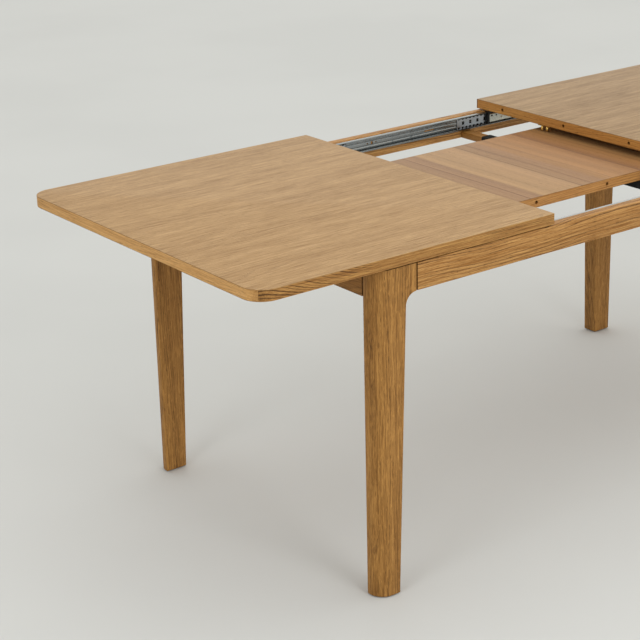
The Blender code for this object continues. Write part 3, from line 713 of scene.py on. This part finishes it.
def make_leg(side_name, row_name):
    node = f"leg_{side_name}_{row_name}"
    side, row = SIDES[side_name], ROWS[row_name]
    low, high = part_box(node)
    depth = high.y - low.y
    shoulder = high.x - low.x
    foot_width, upper_width = LEG_FOOT * shoulder, LEG_UPPER * shoulder
    apron_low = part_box(f"apron_{row_name}")[0].z
    rings = []
    for k in range(FOOT_STEPS + 1):
        angle = math.radians(90 * k / FOOT_STEPS)
        shrink = FOOT_EDGE * (1 - math.sin(angle))
        rings.append(leg_section(foot_width, depth, low.z + FOOT_EDGE * (1 - math.cos(angle)), shrink))
    start = apron_low - LEG_FILLET
    for k in range(1, LEG_SPANS):
        share = k / LEG_SPANS
        height = low.z + FOOT_EDGE + (start - low.z - FOOT_EDGE) * share
        rings.append(leg_section(foot_width + (upper_width - foot_width) * share, depth, height))
    for k in range(FILLET_STEPS + 1):
        angle = math.radians(90 * k / FILLET_STEPS)
        width = upper_width + (shoulder - upper_width) * (1 - math.cos(angle))
        rings.append(leg_section(width, depth, start + LEG_FILLET * math.sin(angle)))
    rings.append(leg_section(shoulder, depth, high.z))
    outer_x = high.x if side > 0 else low.x
    outer_y = high.y if row > 0 else low.y
    placed = [[(outer_x - side * a, outer_y - row * b, z) for a, b, z in ring] for ring in rings]
    shape = bmesh.new()
    skin(shape, placed)
    piece(f"oak_{node}", shape, OAK_LEG, "frame", slot="oak_frame", stands_for=[node], degrees=30)


# ---- Screws, rivets and dowels ------------------------------------------------------------------
def head_template(radius, rise, recess=True):
    """A pan head with a cross recess, centred on the surface it sits on, facing +Z."""
    shape = bmesh.new()
    profile = [(-0.0006, radius * 0.98), (0.0, radius), (rise * 0.45, radius * 0.97),
               (rise * 0.8, radius * 0.78), (rise, radius * 0.50), (rise * 1.04, 0.0)]
    lathe(shape, profile, (0, 0, 0), (0, 0, 1), sides=28)
    helper = helper_object(shape)
    if recess:
        arm, width = radius * 0.56, radius * 0.13
        for a, b, top in ((arm, width, rise * 2), (width, arm, rise * 2.1)):
            cutter = bmesh.new()
            cuboid(cutter, (-a, -b, rise * 0.25), (a, b, top))
            carve(helper, cutter)
    return template_of(helper)


PAN_HEAD = head_template(0.0029, 0.0013)
WOOD_HEAD = head_template(0.0040, 0.0007)
BRASS_HEAD = head_template(0.0026, 0.0006)
RIVET_HEAD = head_template(0.0030, 0.0011, recess=False)


def facing(place, direction, turn=0.0):
    """The matrix that puts a head at a place, facing a direction, spun about its own axis."""
    spin = Matrix.Rotation(turn, 4, "Z")
    turned = Vector(direction).to_track_quat("Z", "Y").to_matrix().to_4x4()
    return Matrix.Translation(place) @ turned @ spin


def heads(name, template, places, direction, paint, body, slot):
    matrices = [facing(place, direction, random.uniform(0, math.pi / 2)) for place in places]
    return piece(name, copies(template, matrices), paint, body, slot)


FLUTES, FLUTE_DEPTH = 12, 0.00035
DOWEL_SIDES, DOWEL_CHAMFER = 72, 0.0012


def make_dowel(node, body):
    """A beech dowel with pressed flutes and chamfered ends."""
    low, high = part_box(node)
    size = high - low
    axis = max(range(3), key=lambda k: size[k])
    radius = min(size) / 2
    direction = Vector([float(k == axis) for k in range(3)])
    middle = (low + high) / 2
    length = size[axis]
    start = middle - direction * length / 2
    turn = direction.to_track_quat("Z", "Y").to_matrix()

    def ring(along, reach, depth):
        points = []
        for k in range(DOWEL_SIDES):
            angle = 2 * math.pi * k / DOWEL_SIDES
            dip = max(0.0, math.cos(angle * FLUTES)) ** 3 * depth
            offset = Vector((math.cos(angle), math.sin(angle), 0)) * (reach - dip)
            points.append(start + turn @ (offset + Vector((0, 0, along))))
        return points

    half = [(0, radius - DOWEL_CHAMFER, 0),
            (DOWEL_CHAMFER * 0.6, radius - DOWEL_CHAMFER * 0.3, FLUTE_DEPTH * 0.4),
            (DOWEL_CHAMFER, radius, FLUTE_DEPTH)]
    rings = [ring(*stop) for stop in half]
    rings += [ring(length - along, reach, depth) for along, reach, depth in reversed(half)]
    shape = bmesh.new()
    skin(shape, rings)
    piece(f"{node}_fluted", shape, BEECH, body, slot="beech", stands_for=[node], degrees=60)


# ---- Ball bearing slides ------------------------------------------------------------------------
# Sections as (distance from the apron, height above the slide's centre line), upper half.
OUTER_HALF = [(0.0102, 0.0136), (0.0104, 0.0162), (0.0094, 0.0172), (0.0020, 0.0172), (0.0009, 0.0162),
              (0.0009, 0.0118), (0.0023, 0.0104), (0.0023, 0.0074), (0.0011, 0.0062), (0.0011, 0.0040),
              (0.0022, 0.0028)]
CAGE_HALF = [(0.0088, 0.0149), (0.0044, 0.0149), (0.0036, 0.0140)]
RUNNER_HALF = [(0.0052, 0.0127), (0.0078, 0.0127), (0.0092, 0.0112), (0.0104, 0.0098)]
OUTER_SHEET, CAGE_SHEET, RUNNER_SHEET = 0.0012, 0.0008, 0.0012
OUTER_BEND, CAGE_BEND, RUNNER_BEND = 0.0012, 0.0008, 0.0011

# Places are (x, height), holes (x, height, radius), slots (from x, to x, height, radius).
OUTER_WINDOW = ((-0.1014, -0.0036), (-0.0954, 0.0044))
OUTER_HOLES = [(-0.1130, 0.0006, 0.0023), (-0.0855, 0.0006, 0.0021)]
OUTER_SLOTS = [(-0.196, -0.188, 0.0128, 0.0021), (0.075, 0.106, 0.0002, 0.0017)]
MOUNT_HOLES = [(x, -0.0002, 0.0026) for x in (0.240, 0.352, 0.464, 0.576)]
MOUNT_SCREWS = (0.230, 0.370, 0.500, 0.615)
OUTER_CUT = (-0.001, 0.005)              # depths that these cuts run between, from the apron
TAB_PLACE = (0.031, 0.0072)
TAB_RADIUS, TAB_REACH = 0.0021, 0.0012
TAB_DEPTHS = (0.0018, 0.0042)

BALL_RADIUS = 0.0016
BALL_PITCH, BALL_START, BALL_END = 0.0128, 0.0065, 0.008
BALL_PLACE = (0.0066, 0.01495)
POCKET_HALF, POCKET_DEPTHS, POCKET_HEIGHTS = 0.0031, (0.0030, 0.0081), (0.0093, 0.0160)
WINDOW_PITCH, WINDOW_START, WINDOW_END = 0.0250, 0.0205, 0.010
WINDOW_HALF, WINDOW_DEPTHS = (0.0038, 0.0044), (0.002, 0.006)

RUNNER_HOLES = [(0.0078, 0.0055, 0.0026), (0.0236, 0.0055, 0.0026)]
RUNNER_SLOT = (-0.004, 0.004, 0, 0.0023)
RUNNER_ROW_START, RUNNER_ROW_PITCH, RUNNER_ROW_COUNT = 0.062, 0.032, 8
RUNNER_ROW_RADIUS = 0.0026
RUNNER_CUT = (0.0070, 0.0130)
RIVET_PLACE = (0.0427, 0.0110, -0.0033)

BUMPER_HALF = [(0.0048, 0.0130), (0.0088, 0.0130), (0.0090, 0.0123), (0.0122, 0.0123)]
RIB_HEIGHT, RIB_HALF, RIB_DEPTHS, RIB_END = 0.0055, 0.0012, (0.0120, 0.0128), 0.001
HOOK_DEPTHS, HOOK_HEIGHTS = (0.0118, 0.0150), (0.0105, 0.0208)


def slide_frame(row_name):
    """The matrix from a slide's own (x, distance, height) to the frame, for one row."""
    row = ROWS[row_name]
    low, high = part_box(f"slide_outer_{row_name}")
    apron_low, apron_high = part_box(f"apron_{row_name}")
    wall = apron_low.y if row > 0 else apron_high.y
    place = Matrix.Translation((0, wall, (low.z + high.z) / 2))
    return place @ Matrix.Diagonal((1, -row, 1, 1))


def slide_sheet(half_section, sheet, bend, start, end):
    path = fillet(both_halves(half_section), bend)
    shape = bmesh.new()
    prism(shape, sheet_outline(path, sheet), lambda a, b, x: (x, a, b), start, end)
    return shape


def placed_piece(name, template, place, paint, body, slot, stands_for=()):
    return piece(name, copies(template, [place]), paint, body, slot, stands_for)


def round_hole(shape, x, height, radius, depths, sides):
    """A cutter through a sheet, between two depths."""
    profile = [(0, radius), (depths[1] - depths[0], radius)]
    lathe(shape, profile, (x, depths[0], height), (0, 1, 0), sides=sides)


def slot_hole(shape, start, end, height, radius, depths):
    outline = arc((end, height), radius, -90, 90, 8) + arc((start, height), radius, 90, 270, 8)
    prism(shape, outline, lambda a, b, y: (a, y, b), *depths)


def outer_template(half_length):
    """The fixed member: a W section with a window, slots and screw holes cut through it; the stop tabs near
    its middle are made apart, by stop_tabs.
    """
    member = helper_object(slide_sheet(OUTER_HALF, OUTER_SHEET, OUTER_BEND, -half_length, half_length))
    cutter = bmesh.new()
    (x0, z0), (x1, z1) = OUTER_WINDOW
    cuboid(cutter, (x0, OUTER_CUT[0], z0), (x1, OUTER_CUT[1], z1))
    for hole in OUTER_HOLES:
        round_hole(cutter, *hole, OUTER_CUT, 16)
    for slot in OUTER_SLOTS:
        slot_hole(cutter, *slot, OUTER_CUT)
    for side in (-1, 1):
        for x, height, radius in MOUNT_HOLES:
            round_hole(cutter, side * x, height, radius, OUTER_CUT, 16)
    carve(member, cutter)
    return template_of(member)


def stop_tabs():
    shape = bmesh.new()
    for side in (-1, 1):
        for level in (-1, 1):
            x, z = side * TAB_PLACE[0], level * TAB_PLACE[1]
            outline = arc((x - side * 0.0002, z), TAB_RADIUS, 90, 270, 8)
            outline += [(x + TAB_REACH, z - TAB_RADIUS), (x + TAB_REACH, z + TAB_RADIUS)]
            prism(shape, outline, lambda a, b, y: (a, y, b), *TAB_DEPTHS)
    soften(shape, 0.0003)
    return shape


def cage_template(length):
    """The ball cage, from its inner end at 0: square windows in its web and a pocket at each ball."""
    cage = helper_object(slide_sheet(CAGE_HALF, CAGE_SHEET, CAGE_BEND, 0, length))
    windows = bmesh.new()
    x = WINDOW_START
    half_width, half_height = WINDOW_HALF
    while x < length - WINDOW_END:
        cuboid(windows, (x - half_width, WINDOW_DEPTHS[0], -half_height),
               (x + half_width, WINDOW_DEPTHS[1], half_height))
        x += WINDOW_PITCH
    carve(cage, windows)
    pockets = bmesh.new()
    for x in ball_places(length):
        for level in (-1, 1):
            low, high = sorted(level * height for height in POCKET_HEIGHTS)
            cuboid(pockets, (x - POCKET_HALF, POCKET_DEPTHS[0], low),
                   (x + POCKET_HALF, POCKET_DEPTHS[1], high))
    carve(cage, pockets)
    return template_of(cage)


def ball_places(length):
    return [BALL_START + BALL_PITCH * k for k in range(int((length - BALL_END) / BALL_PITCH))]


def balls(length):
    shape = bmesh.new()
    distance, height = BALL_PLACE
    for x in ball_places(length):
        for level in (-1, 1):
            place = Matrix.Translation((x, distance, level * height))
            bmesh.ops.create_icosphere(shape, subdivisions=2, radius=BALL_RADIUS, matrix=place)
    return mesh_of(shape, "balls")


def runner_template(length):
    """The moving member, from its inner end at 0, with its row of holes and slots."""
    runner = helper_object(slide_sheet(RUNNER_HALF, RUNNER_SHEET, RUNNER_BEND, 0, length))
    cutter = bmesh.new()
    for x, height, radius in RUNNER_HOLES:
        round_hole(cutter, x, height, radius, RUNNER_CUT, 18)
    start, end, height, radius = RUNNER_SLOT
    for k in range(RUNNER_ROW_COUNT):
        x = RUNNER_ROW_START + RUNNER_ROW_PITCH * k
        if k % 2:
            slot_hole(cutter, x + start, x + end, height, radius, RUNNER_CUT)
        else:
            round_hole(cutter, x, 0, RUNNER_ROW_RADIUS, RUNNER_CUT, 18)
    carve(runner, cutter)
    return template_of(runner)


def bumper_shape(length):
    """The nylon end stop in the runner's mouth, with two ribs and the hook above it."""
    shape = bmesh.new()
    prism(shape, both_halves(BUMPER_HALF), lambda a, b, x: (x, a, b), length * 0.38, length)
    soften(shape, 0.0006, 3)
    extras = []
    for level in (-1, 1):
        height = level * RIB_HEIGHT
        extras.append(((length * 0.5, RIB_DEPTHS[0], height - RIB_HALF),
                       (length - RIB_END, RIB_DEPTHS[1], height + RIB_HALF), 0.0003, 2))
    extras.append(((length * 0.2, HOOK_DEPTHS[0], HOOK_HEIGHTS[0]),
                   (length * 0.95, HOOK_DEPTHS[1], HOOK_HEIGHTS[1]), 0.0009, 3))
    for low, high, edge, segments in extras:
        extra = bmesh.new()
        cuboid(extra, low, high)
        soften(extra, edge, segments)
        shape.from_mesh(mesh_of(extra, "bumper_part"))
    return mesh_of(shape, "bumper")


def length_of(node):
    low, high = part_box(node)
    return high.x - low.x


def make_slides():
    outer = outer_template(length_of("slide_outer_back") / 2)
    cage_length = length_of("ball_cage_right_back")
    cage, ball_set = cage_template(cage_length), balls(cage_length)
    runner = runner_template(length_of("slide_runner_right_back"))
    bumper = bumper_shape(length_of("bumper_right_back"))
    for row_name, row in ROWS.items():
        base = slide_frame(row_name)
        outwards = (0, -row, 0)
        node = f"slide_outer_{row_name}"
        placed_piece(f"{node}_member", outer, base, ZINC_OUTER, "frame", "zinc_steel", [node])
        tabs = stop_tabs()
        bmesh.ops.transform(tabs, matrix=base, verts=tabs.verts)
        piece(f"{node}_stop_tabs", tabs, ZINC_OUTER, "frame", "zinc_steel")
        places = [base @ Vector((side * x, 0.0015, 0)) for side in (-1, 1) for x in MOUNT_SCREWS]
        heads(f"{node}_screws", PAN_HEAD, places, outwards, SCREW_STEEL, "frame", "zinc_steel")
        for side_name, side in SIDES.items():
            tag = f"{side_name}_{row_name}"
            cages, top = f"cages_{side_name}", f"top_{side_name}"

            def at_inner_end(node):
                low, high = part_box(node)
                start = Matrix.Translation((low.x if side > 0 else high.x, 0, 0))
                return base @ start @ Matrix.Diagonal((side, 1, 1, 1))

            node = f"ball_cage_{tag}"
            place = at_inner_end(node)
            placed_piece(f"{node}_strip", cage, place, ZINC_CAGE, cages, "zinc_steel", [node])
            placed_piece(f"{node}_balls", ball_set, place, STEEL_BALL, cages, "zinc_steel")
            node = f"slide_runner_{tag}"
            place = at_inner_end(node)
            placed_piece(f"{node}_member", runner, place, ZINC_RUNNER, top, "zinc_runner", [node])
            rivet = place @ Vector(RIVET_PLACE)
            heads(f"{node}_rivet", RIVET_HEAD, [rivet], outwards, SCREW_STEEL, top, "zinc_runner")
            node = f"bumper_{tag}"
            place = at_inner_end(node)
            placed_piece(f"{node}_nylon", bumper, place, BLACK_PLASTIC, top, "black_plastic", [node])


# ---- Small parts --------------------------------------------------------------------------------
def inset_corners(node, inset):
    """The points (x, y) in the four corners of a plate, drawn in from its edges."""
    low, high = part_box(node)
    return [(x, y) for x in (low.x + inset, high.x - inset) for y in (low.y + inset, high.y - inset)]


LOCK_PLATE = 0.0022                      # thickness
LOCK_SCREW_INSET = 0.0055


def make_locks():
    for row_name in ROWS:
        refined(f"lock_lever_{row_name}", BRASS, f"lever_{row_name}", "brass", edge=0.0003)
        for node, body in ((f"lock_base_{row_name}", "top_left"), (f"lock_keeper_{row_name}", "top_right")):
            refined(node, BRASS, body, "brass")
            low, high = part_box(node)
            places = inset_corners(node, LOCK_SCREW_INSET)
            if body == "top_right":
                places = [(x, y) for x, y in places if x > (low.x + high.x) / 2]
            places = [(x, y, high.z - LOCK_PLATE) for x, y in places]
            heads(f"{node}_screws", BRASS_HEAD, places, (0, 0, -1), BRASS, body, "brass")


BATTEN_SCREWS = (0.14, 0.50, 0.86)       # shares of the batten's length


def make_battens_and_blocks():
    for side_name in SIDES:
        body = f"top_{side_name}"
        for row_name in ROWS:
            tag = f"{side_name}_{row_name}"
            refined(f"batten_{tag}", RAIL_X, body, "oak_frame")
            low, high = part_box(f"batten_{tag}")
            length, middle = high.x - low.x, (low.y + high.y) / 2
            places = [(low.x + length * share, middle, low.z) for share in BATTEN_SCREWS]
            heads(f"batten_{tag}_screws", WOOD_HEAD, places, (0, 0, -1), SCREW_STEEL, body, "zinc_steel")
            refined(f"corner_block_{tag}", BEECH_BLOCK, "frame", "beech", edge=0.0008)
            refined(f"corner_bolt_{tag}", SCREW_STEEL, "frame", "zinc_steel", edge=0.0003)
            refined(f"glide_{tag}", GREY_FELT, "frame", "grey_felt", edge=0.0003)


def make_frame_woods():
    for row_name in ROWS:
        refined(f"apron_{row_name}", RAIL_X, "frame", "oak_frame")
    for side_name in SIDES:
        refined(f"end_apron_{side_name}", RAIL_Y_PAINTED_SHADE, "frame", "oak_frame")
        refined(f"cross_rail_{side_name}", RAIL_Y_PAINTED_SHADE, "frame", "oak_frame")
        refined(f"leaf_pad_{side_name}", BLACK_PAD, "frame", "black_pad", edge=0.0004)


for side_name in SIDES:
    make_top(side_name)
    for row_name in ROWS:
        make_leg(side_name, row_name)
make_leaf()
for number in DOWELS:
    make_dowel(f"top_dowel_{number}", "top_left")
    make_dowel(f"leaf_dowel_{number}", "leaf")
make_frame_woods()
make_slides()
make_locks()
make_battens_and_blocks()


# ---- Stage, light and camera --------------------------------------------------------------------
LENS, LENS_SHIFT = 100.81, -0.05
CAMERA_PLACE = (-2.8103, -3.0128, 1.8568)
CAMERA_ANGLES = (37.669, 20.440, -1.0632)        # yaw, pitch and roll in degrees
LIGHT_SIZE = 1.3
LIGHT_TARGET = (0, 0, 0.5)
WORLD_COLOR = (1.0, 0.985, 0.940, 1.0)
WORLD_LEAN = (0.42, 0.10, 0.0)                   # direction in which the surround gets brighter
FLOOR_HALF = 60


def look_along(made, target):
    made.rotation_mode = "QUATERNION"
    made.rotation_quaternion = (Vector(target) - made.location).to_track_quat("-Z", "Y")


def soft_light(name, place, power):
    data = bpy.data.lights.new(name, "AREA")
    data.shape = "RECTANGLE"
    data.size, data.size_y = LIGHT_SIZE, LIGHT_SIZE
    data.energy = power
    made = linked(name, data)
    made.location = place
    look_along(made, LIGHT_TARGET)
    made.visible_camera = False


def make_stage():
    """A wide pale floor, faintly uneven as paint is, and a surround that is brighter to the right."""
    g = Graph("studio_floor")
    cloud = g.noise(g.stretch(g.position(), (0.9, 0.9, 0.9)), detail=3)
    color = g.mix(g.remap(cloud, 0.35, 0.65), tone(203, 205, 204), tone(206, 208, 207))
    paint = g.finish(color, 0.9)
    shape = bmesh.new()
    bmesh.ops.create_grid(shape, x_segments=4, y_segments=4, size=FLOOR_HALF)
    mesh = mesh_of(shape, "floor")
    mesh.materials.append(paint)
    linked("floor", mesh)
    world = bpy.data.worlds.new("studio")
    world.use_nodes = True
    nodes, links = world.node_tree.nodes, world.node_tree.links
    lean = nodes.new("ShaderNodeVectorMath")
    lean.operation = "DOT_PRODUCT"
    lean.inputs[1].default_value = WORLD_LEAN
    links.new(nodes.new("ShaderNodeTexCoord").outputs["Generated"], lean.inputs[0])
    level = nodes.new("ShaderNodeMath")
    level.operation = "ADD"
    level.inputs[1].default_value = 1.0
    links.new(lean.outputs["Value"], level.inputs[0])
    links.new(level.outputs[0], nodes["Background"].inputs[1])
    nodes["Background"].inputs[0].default_value = WORLD_COLOR
    bpy.context.scene.world = world


def make_camera():
    """In front and left of the table, a little above eye height, with a long lens."""
    data = bpy.data.cameras.new("camera")
    data.sensor_width = 36.0
    data.lens = LENS
    data.shift_x = LENS_SHIFT
    camera = linked("camera", data)
    camera.location = CAMERA_PLACE
    yaw, pitch, roll = (math.radians(angle) for angle in CAMERA_ANGLES)
    camera.rotation_mode = "QUATERNION"
    turn = Matrix.Rotation(-yaw, 3, "Z") @ Matrix.Rotation(math.pi / 2 - pitch, 3, "X")
    camera.rotation_quaternion = (turn @ Matrix.Rotation(roll, 3, "Z")).to_quaternion()
    bpy.context.scene.camera = camera


make_stage()
make_camera()
soft_light("key_left", (-3.73, -1.15, 2.4), 23)
soft_light("key_front", (-0.60, -3.35, 2.4), 31)
bpy.context.scene.view_settings.view_transform = "Standard"
